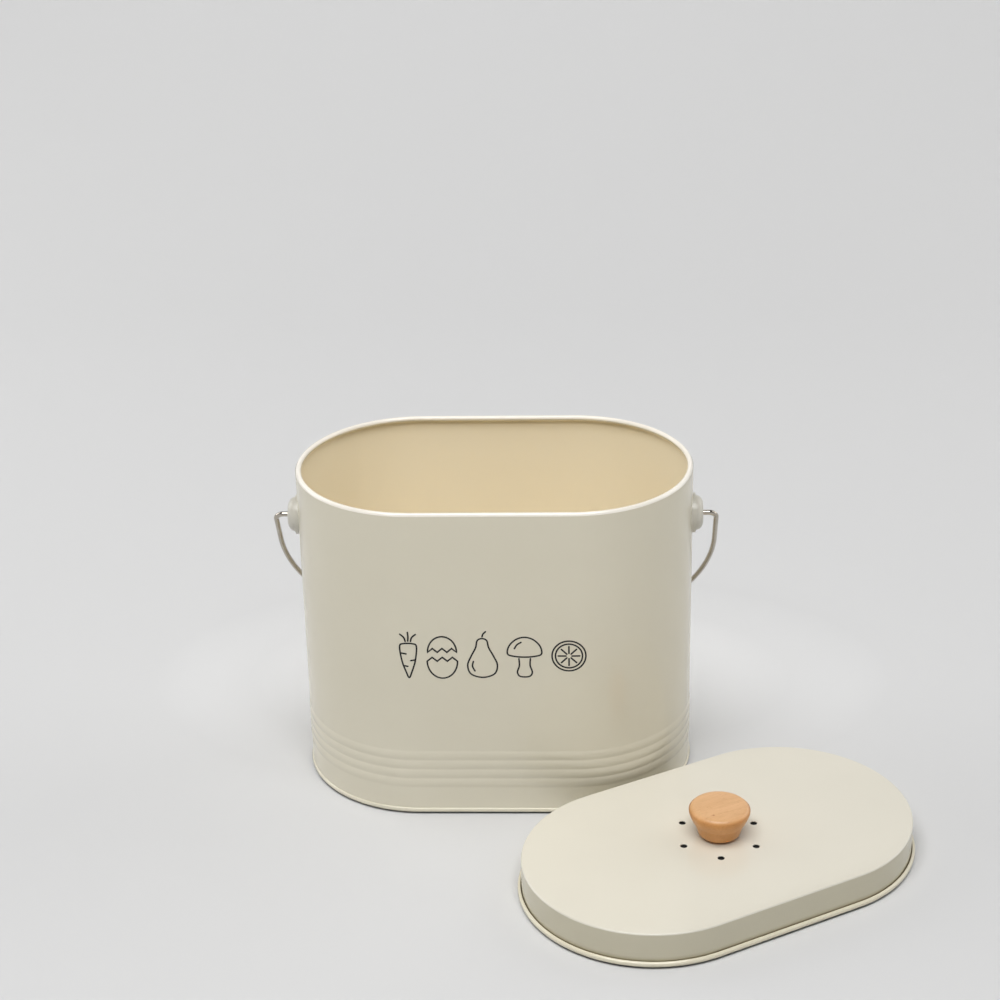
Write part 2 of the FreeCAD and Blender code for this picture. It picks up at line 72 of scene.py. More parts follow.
# ears and bail
PIVOT = 168.8 * MM
EAR_FLANGE_RADIUS = 12.2 * MM
EAR_FLANGE = 1.7 * MM
EAR_GROOVE = 0.35 * MM
EAR_RADIUS = 10.7 * MM
EAR_RISE = 6.3 * MM
EAR_ROUND = 4.8 * MM
EAR_SHELL = 1.3 * MM
EAR_HOLE = 1.65 * MM
EAR_EDGE = 0.3 * MM
WIRE_RADIUS = 1.6 * MM
BAIL_SPAN = 134.5 * MM
BAIL_LEG = 28 * MM
BAIL_REACH = 153.5 * MM
BAIL_BEND = 5 * MM
HEAD_RADIUS = 3.4 * MM
HEAD_THICK = 1.5 * MM
HEAD_PLAY = 0.4 * MM
HEAD_ROUND = 0.5 * MM
HEAD_POLE = 0.4 * MM

# lid
LID_HEIGHT = 22 * MM
LID_INSIDE = 73.6 * MM
LID_ROUND = 1 * MM
HEM_RADIUS = 1.4 * MM
HEM_HEIGHT = 4.2 * MM
HEM_END = 100
HEM_FOOT = 0.5 * MM
HEM_GAP = 1.1 * MM
GROOVE_FADE = 7 * MM
VENT_RING = 24.1 * MM
VENT_RADIUS = 2 * MM
VENT_EDGE = 0.35 * MM
VENT_COUNT = 6
PANEL_GRID = 6 * MM
SCREW_HOLE = 2.2 * MM
LID_PLACE = Vector((132.2 * MM, -128.3 * MM, 0))
LID_TURN = math.radians(29.8)
LID_FRAME = Matrix.Translation(LID_PLACE) @ Matrix.Rotation(LID_TURN, 4, "Z")

# coat: two tones for each place, and painted shade that darkens the coat towards the groove behind the hem
WALL_CREAM = ((0.704, 0.658, 0.526), (0.719, 0.674, 0.542))
# painted highlight: the top half of the rim takes a paler copy of the coat
RIM_PAINTED_HIGHLIGHT = ((0.851, 0.803, 0.719), (0.866, 0.819, 0.735))
EAR_CREAM = ((0.569, 0.545, 0.473), (0.584, 0.560, 0.487))
LID_CREAM = ((0.690, 0.655, 0.560), (0.705, 0.670, 0.575))
# painted shade: the lid's skirt takes a darker copy of the lid's coat, so its sides are darker than its top
SKIRT_PAINTED_SHADE = ((0.561, 0.520, 0.391), (0.575, 0.534, 0.404))
HEM_CREAM = ((0.700, 0.650, 0.505), (0.715, 0.665, 0.520))
# painted light: the inside wall and floor take a lighter, warmer copy of the cream coat that stands in for
# light bouncing about inside
INSIDE_PAINTED_LIGHT = ((0.935, 0.840, 0.640), (0.945, 0.855, 0.660))
GROOVE_PAINTED_SHADE = ((0, 0.30, 0.24, 0.13), (0.46, 0.48, 0.41, 0.28), (0.6, 0.84, 0.81, 0.73), (1, 1, 1, 1))

# knob
KNOB_HEIGHT = 19.5 * MM
KNOB_TOP = 17.8 * MM
KNOB_FOOT = 12.1 * MM
KNOB_FOOT_ROUND = 1.4 * MM
KNOB_RELIEF = 1.5 * MM
KNOB_RELIEF_DEPTH = 3 * MM
KNOB_RELIEF_ROUND = 0.2 * MM
KNOB_CUP = 14.5 * MM
KNOB_STEP = 15.4 * MM
KNOB_STEP_HEIGHT = 10 * MM
KNOB_STEP_ROUND = 0.4 * MM
KNOB_EDGE = 4.2 * MM
KNOB_EDGE_ROUND = 2.2 * MM
KNOB_ROUND = 2.4 * MM
KNOB_TOP_ROUND = 1.5 * KNOB_ROUND
KNOB_BORE = 3.2 * MM
KNOB_BORE_DEPTH = 11 * MM
KNOB_BORE_ROUND = 0.1 * MM
KNOB_MOUTH_ROUND = 0.3 * MM
KNOB_POLE = 0.5 * MM
KNOT_PLACE = (-8.5 * MM, -6.5 * MM)
KNOT_RADIUS = 0.9 * MM

# charcoal pad
PAD_INNER = 7.4 * MM
PAD_OUTER = 50.4 * MM
PAD_BOTTOM = 11.6 * MM
PAD_TOP = 21 * MM
PAD_SOFT = 1.5 * MM
PAD_SINK = 0.3 * MM
PAD_LUMPS_PER_METRE = 180

# print on the front
INK_THICK = 0.05 * MM
INK_SUNK = 0.02 * MM
INK_WIDTH = 1.0 * MM
MITRE_LEAST = 0.6
PRINT_HEIGHT = 110 * MM
PRINT_GAP = 6 * MM

# camera, stage and light
CAMERA_PLACE = Vector((0.05824, -1.23006, 0.75653))
CAMERA_RIGHT = Vector((0.99917, 0.03483, -0.02104))
CAMERA_DOWN = Vector((-0.0042, -0.42597, -0.90473))
CAMERA_LENS = 80.58
CAMERA_SENSOR = 36
CAMERA_NEAREST = 0.05
FLOOR_BACK = 0.8
SWEEP_RADIUS = 1.2
BACKDROP_TOP = 1.6
FAR_STEPS = [1, 2, 2.4, 2.8, 3.2, 3.6, 4, 4.5, 5]
FAR_WALL_START = 2.4
FAR_WALL_CURVE = 0.35
FAR_MIDDLE = 0.6
FAR_FADE = (1.1, 2.0)
# painted light: where the floor is seen, a spot round the bucket is paler and lifts the bucket's shadow
NEAR_STRETCH = (0.6, 1, 1)
NEAR_SHIFT = (-0.006, -0.1, 0)
NEAR_FADE = (0.07, 0.15)
NEAR_PAINTED_LIGHT = (0.86, 0.86, 0.86)
MIDDLE_PAINTED_LIGHT = (0.69, 0.69, 0.69)
FAR_PALE = (0.62, 0.62, 0.62)
FLOOR_LIT = (0.74, 0.74, 0.74, 1)
LAMPS = [
    ("key", (-0.08, -0.83, 2.06), (0, -0.03, 0.1), (1.8, 1.3), 48),
    ("side_left", (-1.4, 0.55, 0.9), (0, 0, 0.1), (1.1, 1.3), 8.5),
    ("side_right", (1.4, 0.55, 0.9), (0, 0, 0.1), (1.1, 1.3), 6.5),
    ("backdrop", (0, 0.7, 1.9), (0, 2, 1.4), (3.0, 0.8), 18),
]


def arc(centre, radius, start, end, steps):
    """Points (across, up) on an arc between two angles in degrees."""
    points = []
    for step in range(steps + 1):
        angle = math.radians(start + (end - start) * step / steps)
        points.append((centre[0] + radius * math.cos(angle), centre[1] + radius * math.sin(angle)))
    return points


def stadium_rays(arc_steps=72, side_steps=10):
    """The centre and direction of each point round a stadium, anticlockwise from the front's left end."""
    rays = []
    for side in (1, -1):
        for step in range(side_steps):
            across = side * HALF_STRAIGHT * (2 * step / side_steps - 1)
            rays.append((across, Vector((0, -side, 0))))
        for step in range(arc_steps):
            angle = math.radians(-90 + 180 * step / arc_steps)
            rays.append((side * HALF_STRAIGHT, side * Vector((math.cos(angle), math.sin(angle), 0))))
    return rays


RAYS = stadium_rays()


def stadium_ring(bm, radius, height, place):
    return [bm.verts.new(place @ (Vector((across, 0, height)) + radius * way)) for across, way in RAYS]


def skin(bm, rings, closed=False):
    """Quads between each ring and the next, and from the last to the first where closed."""
    pairs = list(zip(rings, rings[1:]))
    if closed:
        pairs.append((rings[-1], rings[0]))
    for low, high in pairs:
        count = len(low)
        for index in range(count):
            after = (index + 1) % count
            bm.faces.new((low[index], low[after], high[after], high[index]))


def loft(bm, section, place=Matrix(), closed=True):
    """Carries a section of (radius, height) points round the stadium."""
    rings = [stadium_ring(bm, radius, height, place) for radius, height in section]
    skin(bm, rings, closed)
    return rings


def lathe(bm, profile, place, steps, closed=False):
    """Turns a profile of (radius, height) points about the upright axis of a place."""
    rings = []
    for radius, height in profile:
        ring = []
        for step in range(steps):
            angle = math.tau * step / steps
            point = Vector((radius * math.cos(angle), radius * math.sin(angle), height))
            ring.append(bm.verts.new(place @ point))
        rings.append(ring)
    skin(bm, rings, closed)
    return rings


def as_piece(name, bm, materials, body, replaces=()):
    """Turns a mesh into a shaded piece that rides a body."""
    bmesh.ops.remove_doubles(bm, verts=bm.verts, dist=MERGE)
    bmesh.ops.recalc_face_normals(bm, faces=bm.faces)
    mesh = bpy.data.meshes.new(name)
    bm.to_mesh(mesh)
    bm.free()
    for polygon in mesh.polygons:
        polygon.use_smooth = True
    mesh.set_sharp_from_angle(angle=SHARP_EDGE)
    for material in materials:
        mesh.materials.append(material)
    piece = bpy.data.objects.new(name, mesh)
    bpy.context.scene.collection.objects.link(piece)
    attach(piece, body)
    if replaces:
        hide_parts(*replaces)
    return piece


def node(tree, kind, settings=None, **inputs):
    """A shader node with its settings and inputs; an input that is a socket is linked."""
    made = tree.nodes.new(f"ShaderNode{kind}")
    for key, value in (settings or {}).items():
        setattr(made, key, value)
    for key, value in inputs.items():
        feed(tree, made.inputs[key.replace("_", " ")], value)
    return made


def feed(tree, socket, value):
    if isinstance(value, bpy.types.NodeSocket):
        tree.links.new(value, socket)
    else:
        socket.default_value = value


def new_material(name, **inputs):
    """A material with one Principled shader, its node tree and its object coordinates."""
    material = bpy.data.materials.new(name)
    material.use_nodes = True
    tree = material.node_tree
    shader = tree.nodes["Principled BSDF"]
    for key, value in inputs.items():
        shader.inputs[key.replace("_", " ")].default_value = value
    coordinates = node(tree, "TexCoord").outputs["Object"]
    return material, tree, shader, coordinates


def ramp(tree, factor, *stops):
    """Colours (position, linear red, green, blue) along a factor."""
    made = node(tree, "ValToRGB", Fac=factor)
    elements = made.color_ramp.elements
    while len(elements) < len(stops):
        elements.new(0.5)
    for element, (position, *colour) in zip(elements, stops):
        element.position = position
        element.color = (*colour, 1)
    return made.outputs["Color"]


def noise_factor(tree, vector, scale, detail, roughness=0.5):
    made = node(tree, "TexNoise", Vector=vector, Scale=scale, Detail=detail, Roughness=roughness)
    return made.outputs["Fac"]


def stretched(tree, vector, scale, move=(0, 0, 0)):
    return node(tree, "Mapping", Vector=vector, Location=move, Scale=scale).outputs["Vector"]


def spread(tree, factor, low, high, start=0.3, end=0.7):
    """A factor carried from one range to another."""
    inputs = {"Value": factor, "From_Min": start, "From_Max": end, "To_Min": low, "To_Max": high}
    return node(tree, "MapRange", **inputs).outputs["Result"]


def bump(tree, height, distance, strength, under=None):
    inputs = {"Height": height, "Distance": distance, "Strength": strength}
    if under is not None:
        inputs["Normal"] = under
    return node(tree, "Bump", **inputs).outputs["Normal"]


def enamel_material(name, dark, light, rough=0.14, fade=None):
    """Satin powder coat over sheet steel: fine orange peel, faint waves of the sheet, uneven gloss.

    Below the height fade, painted shade darkens it towards the hem's groove."""
    material, tree, shader, place = new_material(name, Specular_IOR_Level=0.7)
    tone = noise_factor(tree, place, 14, 3)
    colour = ramp(tree, tone, (0.3, *dark), (0.7, *light))
    if fade:
        # painted shade: below the fade height the colour darkens towards the hem's groove, where shade falls
        height = node(tree, "SeparateXYZ", Vector=place).outputs["Z"]
        cover = ramp(tree, spread(tree, height, 0, 1, HEM_GAP, fade), *GROOVE_PAINTED_SHADE)
        groove_shade = node(tree, "MixRGB", {"blend_type": "MULTIPLY"}, Fac=1.0, Color1=colour, Color2=cover)
        colour = groove_shade.outputs["Color"]
    feed(tree, shader.inputs["Base Color"], colour)
    gloss = noise_factor(tree, place, 40, 3, 0.6)
    feed(tree, shader.inputs["Roughness"], spread(tree, gloss, rough, rough + 0.05))
    waves = bump(tree, noise_factor(tree, place, 12, 1), 0.15 * MM, 0.3)
    peel = bump(tree, noise_factor(tree, place, 620, 2), 0.012 * MM, 0.3, waves)
    feed(tree, shader.inputs["Normal"], peel)
    return material


def nickel_material():
    """Bright nickel plate with fine drawing marks and duller patches."""
    material, tree, shader, place = new_material("bright_nickel", Metallic=1.0)
    patches = noise_factor(tree, place, 90, 4, 0.6)
    feed(tree, shader.inputs["Base Color"], ramp(
        tree, patches, (0.3, 0.42, 0.38, 0.32), (0.7, 0.52, 0.48, 0.42)))
    feed(tree, shader.inputs["Roughness"], spread(tree, patches, 0.04, 0.1))
    marks = noise_factor(tree, stretched(tree, place, (300, 2600, 2600)), 1, 2)
    feed(tree, shader.inputs["Normal"], bump(tree, marks, 0.01 * MM, 0.5))
    return material


def beech_material():
    """Turned beech: fibres along the lid, short dark flecks, a side painted darker and more orange than the
    top as painted shade, a small knot on top.
    """
    material, tree, shader, place = new_material("turned_beech", Specular_IOR_Level=0.5)
    grain = node(tree, "Mapping", {"vector_type": "TEXTURE"}, Vector=place, Location=LID_PLACE,
                 Rotation=(0, 0, LID_TURN)).outputs["Vector"]
    bands = noise_factor(tree, stretched(tree, grain, (14, 130, 130)), 1, 3, 0.55)
    fibres = noise_factor(tree, stretched(tree, grain, (90, 1500, 1500)), 1, 3, 0.6)
    flecks = noise_factor(tree, stretched(tree, grain, (330, 2300, 2300), move=(3, 1, 2)), 1, 1)
    height = node(tree, "SeparateXYZ", Vector=grain).outputs["Z"]
    knob_top = LID_HEIGHT + KNOB_HEIGHT
    # painted shade: everything below the top's rounding is darker and more orange than the top
    side_shade = spread(tree, height, 1, 0, knob_top - KNOB_ROUND, knob_top)
    knot_offset = node(tree, "VectorMath", {"operation": "DISTANCE"}, Vector=grain)
    knot_offset.inputs[1].default_value = (*KNOT_PLACE, knob_top)
    knot_edge = noise_factor(tree, place, 900, 2)
    knot_reach = node(tree, "Math", {"operation": "MULTIPLY_ADD"})
    feed(tree, knot_reach.inputs[0], knot_edge)
    knot_reach.inputs[1].default_value = 1.6 * MM
    feed(tree, knot_reach.inputs[2], knot_offset.outputs["Value"])
    layers = [
        (0.4, ramp(tree, fibres, (0.35, 0.82, 0.76, 0.68), (0.6, 1, 1, 1))),
        (0.5, ramp(tree, flecks, (0.62, 1, 1, 1), (0.72, 0.75, 0.60, 0.50))),
        (1.0, ramp(tree, side_shade, (0, 1, 1, 1), (1, 1.0, 0.79, 0.48))),
        (0.8, ramp(tree, spread(tree, knot_reach.outputs["Value"], 0, 1, KNOT_RADIUS, 2 * KNOT_RADIUS),
                   (0, 0.62, 0.40, 0.30), (1, 1, 1, 1))),
    ]
    colour = ramp(tree, bands,
                  (0.3, 0.66, 0.38, 0.185), (0.55, 0.71, 0.425, 0.215), (0.75, 0.75, 0.46, 0.24))
    for share, layer in layers:
        mix = node(tree, "MixRGB", {"blend_type": "MULTIPLY"}, Fac=share, Color1=colour, Color2=layer)
        colour = mix.outputs["Color"]
    feed(tree, shader.inputs["Base Color"], colour)
    feed(tree, shader.inputs["Roughness"], spread(tree, fibres, 0.28, 0.4))
    feed(tree, shader.inputs["Normal"], bump(tree, fibres, 0.04 * MM, 0.5))
    return material


def metal_material(name, dark, light, rough, scale):
    material, tree, shader, place = new_material(name, Metallic=1.0)
    patches = noise_factor(tree, place, scale, 4, 0.6)
    feed(tree, shader.inputs["Base Color"], ramp(tree, patches, (0.3, *dark), (0.7, *light)))
    feed(tree, shader.inputs["Roughness"], spread(tree, patches, rough, rough + 0.15))
    turned = noise_factor(tree, stretched(tree, place, (400, 400, 4000)), 1, 2)
    feed(tree, shader.inputs["Normal"], bump(tree, turned, 0.02 * MM, 0.5))
    return material


def plastic_material():
    """Moulded ivory plastic with a fine spark-eroded texture."""
    material, tree, shader, place = new_material("moulded_plastic", Specular_IOR_Level=0.4)
    tone = noise_factor(tree, place, 30, 3)
    feed(tree, shader.inputs["Base Color"], ramp(
        tree, tone, (0.3, 0.66, 0.63, 0.53), (0.7, 0.71, 0.68, 0.58)))
    texture = noise_factor(tree, place, 1400, 3)
    feed(tree, shader.inputs["Roughness"], spread(tree, texture, 0.42, 0.6))
    feed(tree, shader.inputs["Normal"], bump(tree, texture, 0.06 * MM, 0.5))
    return material


def charcoal_material():
    """Black felted fibre with paler lint."""
    material, tree, shader, place = new_material("charcoal_felt", Sheen_Weight=0.1, Specular_IOR_Level=0.1)
    fibre = noise_factor(tree, place, 900, 5, 0.7)
    feed(tree, shader.inputs["Base Color"], ramp(
        tree, fibre, (0.35, 0.005, 0.005, 0.005), (0.6, 0.016, 0.016, 0.017), (0.75, 0.05, 0.05, 0.05)))
    feed(tree, shader.inputs["Roughness"], spread(tree, fibre, 0.85, 1.0))
    feed(tree, shader.inputs["Normal"], bump(tree, fibre, 0.4 * MM, 0.8))
    return material


def ink_material():
    """Baked black print, slightly uneven."""
    material, tree, shader, place = new_material("black_print", Specular_IOR_Level=0.4)
    cover = noise_factor(tree, place, 700, 3)
    feed(tree, shader.inputs["Base Color"], ramp(
        tree, cover, (0.3, 0.006, 0.006, 0.006), (0.75, 0.016, 0.015, 0.014)))
    feed(tree, shader.inputs["Roughness"], spread(tree, cover, 0.35, 0.5))
    return material


def bead_swell(height):
    """How far the wall stands out at a height: rounded beads with soft creases between them."""
    samples = 9
    total = 0
    for sample in range(samples):
        at = height + BEAD_SOFT * (sample / (samples - 1) - 0.5)
        for bead in range(BEAD_COUNT):
            share = (at - BEAD_FIRST - bead * BEAD_PITCH) / BEAD_HALF
            total += max(0, 1 - share * share)
    return BEAD_RISE * total / samples


def rim_curl(radius):
    """One side of the sheet over the rim: a long shoulder on the outside, then a tight curl inwards."""
    middle = (END_RADIUS - RIM_RADIUS, HEIGHT - RIM_RADIUS)
    points = []
    for across, up in arc(middle, radius, 0, RIM_CURL, 40):
        if across > middle[0] and up > middle[1]:
            rise = (up - middle[1]) / radius
            up = HEIGHT - RIM_DROP + (radius + RIM_DROP - RIM_RADIUS) * rise
        points.append((across, up))
    return points


def wall_section():
    """The sheet from its foot up the outside, over the curled rim, and down the inside."""
    first = BEAD_FIRST - BEAD_PITCH
    last = BEAD_FIRST + BEAD_COUNT * BEAD_PITCH
    fine = 90
    coarse = 6
    heights = [SHEET, first / 2] + [first + (last - first) * step / fine for step in range(fine + 1)]
    heights += [last + (HEIGHT - RIM_DROP - last) * step / coarse for step in range(1, coarse)]
    outer = [(END_RADIUS + bead_swell(height), height) for height in heights]
    inner = [(radius - SHEET, height) for radius, height in outer]
    return outer + rim_curl(RIM_RADIUS) + rim_curl(RIM_RADIUS - SHEET)[::-1] + inner[::-1]


def coat_faces(bm, pick):
    """Gives each face the material whose number is picked for its middle."""
    for face in bm.faces:
        face.material_index = int(pick(face.calc_center_median()))


def outward(point):
    """How far a point stands from the wall's spine."""
    return math.hypot(max(abs(point.x) - HALF_STRAIGHT, 0), point.y)


def make_wall(coat, inside_lit_coat, rim):
    """The wall, its inside painted lighter and warmer as painted light, and the top half of the rim painted
    paler as a painted highlight.
    """
    bm = bmesh.new()
    loft(bm, wall_section())
    coated, lit_inside, highlighted_rim = range(3)

    def coat_at(point):
        # the top half of the rim takes the painted highlight
        if point.z > HEIGHT - RIM_RADIUS:
            return highlighted_rim
        within = bead_swell(point.z) + END_RADIUS - outward(point) > SHEET / 2
        # the inside below the rim takes the painted light
        return lit_inside if within and point.z < HEIGHT - RIM_DROP else coated

    coat_faces(bm, coat_at)
    as_piece("wall", bm, [coat, inside_lit_coat, rim], "bucket", ["body_wall"])


def make_base(coat, inside_lit_coat, shade_black):
    """The base with its lip turned up round the foot of the wall, on a pressed foot set in from the lip."""
    lip = END_RADIUS + SEAM_LIP
    foot = lip - SEAM_SET
    half = (SEAM_HEIGHT - SEAM_GAP) / 2
    shelf = END_RADIUS - BASE_SHELF
    section = [(shelf, 0), (foot, 0), (foot + SEAM_GAP, SEAM_GAP)]
    section += [(END_RADIUS + SEAM_LIP * across, SEAM_GAP + half + half * up)
                for across, up in arc((0, 0), 1, -90, 90, 20)]
    section += [(END_RADIUS, SHEET), (shelf, SHEET)]
    bm = bmesh.new()
    rings = loft(bm, section, closed=False)
    bm.faces.new(rings[0])
    bm.faces.new(rings[-1])
    coated, lit_inside, dark = range(3)

    def coat_at(point):
        inside = outward(point) < END_RADIUS - SHEET
        # the inside floor takes the painted light
        if inside and SHEET / 2 < point.z < SEAM_GAP:
            return lit_inside if outward(point) < foot else dark
        # the pressed foot and the lip's underside take the near-black painted shade
        return dark if point.z < SEAM_GAP + SHEET / 6 and outward(point) > foot else coated

    coat_faces(bm, coat_at)
    as_piece("base", bm, [coat, inside_lit_coat, shade_black], "bucket", ["base_plate"])


def make_ear(material, end, side):
    """A hollow button with a flange that follows the wall, and a hole for the bail."""
    crown = HALF_STRAIGHT + END_RADIUS
    flange = crown + EAR_FLANGE
    face = crown + EAR_RISE
    back = face - EAR_SHELL
    hollow = EAR_RADIUS - EAR_SHELL
    profile = [(EAR_FLANGE_RADIUS, None)]
    profile += arc((EAR_FLANGE_RADIUS - EAR_EDGE, flange - EAR_EDGE), EAR_EDGE, 0, 90, 4)
    profile += [(EAR_RADIUS + EAR_GROOVE, flange), (EAR_RADIUS, flange - EAR_GROOVE), (EAR_RADIUS, flange)]
    profile += arc((EAR_RADIUS - EAR_ROUND, face - EAR_ROUND), EAR_ROUND, 0, 90, 14)
    profile += arc((EAR_HOLE + EAR_EDGE, face - EAR_EDGE), EAR_EDGE, 90, 180, 4)
    profile += [(EAR_HOLE, back), (hollow - EAR_ROUND, back), (hollow, back - EAR_ROUND), (hollow, None)]
    bm = bmesh.new()
    rings = []
    steps = 64
    for radius, along in profile:
        ring = []
        for step in range(steps):
            angle = math.tau * step / steps
            across = radius * math.cos(angle)
            up = radius * math.sin(angle)
            on_wall = HALF_STRAIGHT + math.sqrt(END_RADIUS ** 2 - across ** 2)
            ring.append(bm.verts.new((side * (on_wall if along is None else along), across, PIVOT + up)))
        rings.append(ring)
    skin(bm, rings, closed=True)
    as_piece(f"button_{end}", bm, [material], "bucket", [f"ear_{end}"])


def bail_path():
    """The wire's middle line from one headed end to the other, hanging from its pivot in its own plane."""
    crown = HALF_STRAIGHT + END_RADIUS
    end = crown + EAR_RISE - EAR_SHELL - HEAD_PLAY - HEAD_THICK
    half = [(end, 0)]
    half += arc((BAIL_SPAN - BAIL_BEND, BAIL_BEND), BAIL_BEND, -90, 0, 12)
    half += [(BAIL_SPAN * across, BAIL_LEG + (BAIL_REACH - BAIL_LEG) * along)
             for across, along in arc((0, 0), 1, 0, 90, 80)]
    return half + [(-across, along) for across, along in half[:-1][::-1]]


def bail_frame():
    """The turn of the bail's plane at rest, from how low the frame's own bail hangs."""
    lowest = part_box("bail_wire")[0].z
    tilt = math.acos((PIVOT - WIRE_RADIUS - lowest) / BAIL_REACH)
    return Matrix.Translation((0, 0, PIVOT)) @ Matrix.Rotation(math.pi + tilt, 4, "X")


def make_bail(material):
    """The round wire, with a flattened head at each end inside its ear."""
    place = bail_frame()
    path = bail_path()
    bm = bmesh.new()
    rings = []
    sides = 24
    for index, (across, along) in enumerate(path):
        before = path[max(index - 1, 0)]
        after = path[min(index + 1, len(path) - 1)]
        way = Vector((after[0] - before[0], 0, after[1] - before[1])).normalized()
        sideways = way.cross(Vector((0, 1, 0)))
        ring = []
        for side in range(sides):
            angle = math.tau * side / sides
            spoke = sideways * math.cos(angle) + Vector((0, 1, 0)) * math.sin(angle)
            ring.append(bm.verts.new(place @ (Vector((across, 0, along)) + WIRE_RADIUS * spoke)))
        rings.append(ring)
    skin(bm, rings)
    bm.faces.new(rings[0])
    bm.faces.new(rings[-1])
    for side in (-1, 1):
        turn = Matrix.Rotation(side * math.pi / 2, 4, "Y")
        seat = place @ Matrix.Translation((side * path[0][0], 0, 0)) @ turn
        profile = [(HEAD_POLE, 0), (HEAD_RADIUS - HEAD_ROUND, 0)]
        profile += arc((HEAD_RADIUS - HEAD_ROUND, HEAD_ROUND), HEAD_ROUND, -90, 0, 5)
        profile += [(HEAD_RADIUS, HEAD_THICK), (HEAD_POLE, HEAD_THICK)]
        head = lathe(bm, profile, seat, 32)
        bm.faces.new(head[0])
        bm.faces.new(head[-1])
    as_piece("bail", bm, [material], "bail", ["bail_wire"])


def lid_holes():
    """The middle and radius of each hole in the lid's top."""
    holes = [(Vector((0, 0)), SCREW_HOLE)]
    for vent in range(VENT_COUNT):
        angle = math.tau * vent / VENT_COUNT
        holes.append((VENT_RING * Vector((math.cos(angle), math.sin(angle))), VENT_RADIUS))
    return holes


def fill_panel(bm, outline, rims, height):
    """Triangles between the lid's outline and its holes, over an even grid of points."""
    points = [Vector(point) for point in outline]
    edges = [(index, (index + 1) % len(outline)) for index in range(len(outline))]
    for rim in rims:
        start = len(points)
        points += [Vector(point) for point in rim]
        edges += [(start + index, start + (index + 1) % len(rim)) for index in range(len(rim))]
    rows = round(LID_INSIDE / PANEL_GRID)
    columns = round((HALF_STRAIGHT + LID_INSIDE) / PANEL_GRID)
    margin = 0.6 * PANEL_GRID
    holes = lid_holes()
    for row in range(-rows, rows + 1):
        for column in range(-columns, columns + 1):
            spot = Vector(((column + 0.5 * (row % 2)) * PANEL_GRID, row * PANEL_GRID))
            beyond = max(abs(spot.x) - HALF_STRAIGHT, 0)
            inside = math.hypot(beyond, spot.y) < LID_INSIDE - LID_ROUND - margin
            clear = all((spot - centre).length > radius + margin for centre, radius in holes)
            if inside and clear:
                points.append(spot)
    flat, _, faces, *_ = geometry.delaunay_2d_cdt(points, edges, [], 0, MERGE)
    verts = [bm.verts.new(LID_FRAME @ Vector((point.x, point.y, height))) for point in flat]
    for face in faces:
        in_hole = any(all((flat[index] - centre).length < radius + 2 * VENT_EDGE for index in face)
                      for centre, radius in holes)
        if not in_hole:
            bm.faces.new([verts[index] for index in face])


def make_lid(coat, shaded_skirt, shade_black, roll):
    """The pressed lid: crisp top edge, punched vents, and a hem rolled outwards that stands on its fold."""
    outside = LID_INSIDE + SHEET
    hem = LID_INSIDE + HEM_RADIUS
    fold = (LID_INSIDE + HEM_FOOT, HEM_FOOT)
    low = (hem, HEM_GAP + HEM_RADIUS)
    high = (hem, HEM_HEIGHT - HEM_RADIUS)
    top = (outside - LID_ROUND, LID_HEIGHT - LID_ROUND)
    hem_inner = HEM_RADIUS - SHEET
    section = arc(top, LID_ROUND - SHEET, 90, 0, 10)
    section += arc(fold, HEM_FOOT, 180, 300, 10)
    section += arc(low, HEM_RADIUS, 275, 360, 12)
    section += arc(high, HEM_RADIUS, 0, HEM_END, 14)
    section += arc(high, hem_inner, HEM_END, 0, 14)
    section += arc(low, hem_inner, 360, 180, 16)
    section += [(outside, HEM_HEIGHT), (outside, GROOVE_FADE)]
    section += arc(top, LID_ROUND, 0, 90, 12)
    bm = bmesh.new()
    loft(bm, section, LID_FRAME, closed=False)
    to_lid = LID_FRAME.inverted()
    coated, shaded_side, dark, rolled = range(4)

    def coat_at(point):
        out = outward(to_lid @ point) - LID_INSIDE
        # the skirt's outside and the inner face of the hem's roll take the painted shade
        if HEM_HEIGHT < point.z < top[1] and out > SHEET / 2:
            return shaded_side
        from_roll = math.hypot(out - HEM_RADIUS, point.z - high[1])
        if HEM_GAP + SHEET < point.z < HEM_HEIGHT and out > SHEET / 2 and from_roll < HEM_RADIUS - SHEET / 2:
            return shaded_side
        # the hem's underside takes the near-black painted shade
        if point.z < HEM_GAP + SHEET / 6 and out > HEM_FOOT:
            return dark
        return rolled if point.z < HEM_HEIGHT and out > HEM_FOOT else coated

    coat_faces(bm, coat_at)
    edge = top[0]
    outline = [(across + edge * way.x, edge * way.y) for across, way in RAYS]
    steps = 32
    upper = []
    lower = []
    for centre, radius in lid_holes():
        place = LID_FRAME @ Matrix.Translation((centre.x, centre.y, 0))
        wide = radius + VENT_EDGE
        profile = arc((wide, LID_HEIGHT - VENT_EDGE), VENT_EDGE, 90, 180, 5)
        profile.append((radius, LID_HEIGHT - SHEET))
        lathe(bm, profile, place, steps)
        turns = [math.tau * step / steps for step in range(steps)]
        upper.append([centre + wide * Vector((math.cos(turn), math.sin(turn))) for turn in turns])
        lower.append([centre + radius * Vector((math.cos(turn), math.sin(turn))) for turn in turns])
    fill_panel(bm, outline, upper, LID_HEIGHT)
    fill_panel(bm, outline, lower, LID_HEIGHT - SHEET)
    as_piece("lid", bm, [coat, shaded_skirt, shade_black, roll], "lid", ["lid_shell"])


def rounded(corners, steps=8):
    """A profile through corners of (radius, height, rounding)."""
    profile = []
    for before, corner, after in zip(corners, corners[1:], corners[2:]):
        here = Vector(corner[:2])
        into = (Vector(before[:2]) - here).normalized()
        away = (Vector(after[:2]) - here).normalized()
        for step in range(steps + 1):
            at = step / steps
            profile.append(here + corner[2] * ((1 - at) ** 2 * into + at ** 2 * away))
    return [corners[0][:2]] + [tuple(point) for point in profile] + [corners[-1][:2]]


